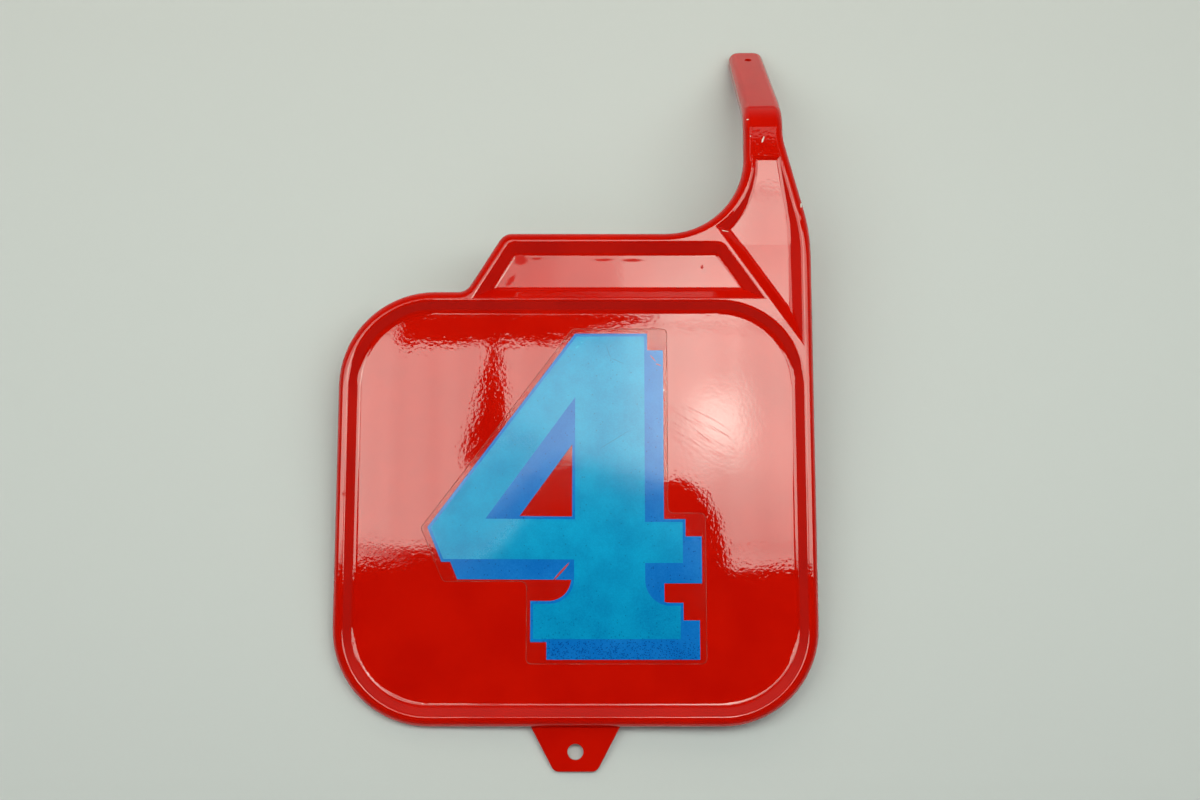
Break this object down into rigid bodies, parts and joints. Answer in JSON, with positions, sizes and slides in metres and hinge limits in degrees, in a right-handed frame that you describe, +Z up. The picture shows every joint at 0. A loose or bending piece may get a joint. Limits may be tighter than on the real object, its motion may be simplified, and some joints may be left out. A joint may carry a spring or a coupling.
{
  "type": "racing number board",
  "caption": "Racing number board: a rounded gloss panel with a raised rim, an arm on one side bent back into a fixing strap, a fixing tab below and a die-cut number film.",
  "frame": {"origin": "on the floor, under the middle of the board's box as it lies face up at rest", "axes": "+Z up from the floor, +Y from the tab towards the arm, +X to the right as the number is read, on the arm's side"},
  "size_m": [0.2608, 0.4265, 0.0635],
  "materials": {
    "board_red": "gloss red paint on moulded plastic",
    "film_clear": "clear gloss vinyl film, printed in two blues"
  },
  "bodies": {
    "root": {"number_board": "board_red", "number_film": "film_clear"}
  },
  "joints": []
}
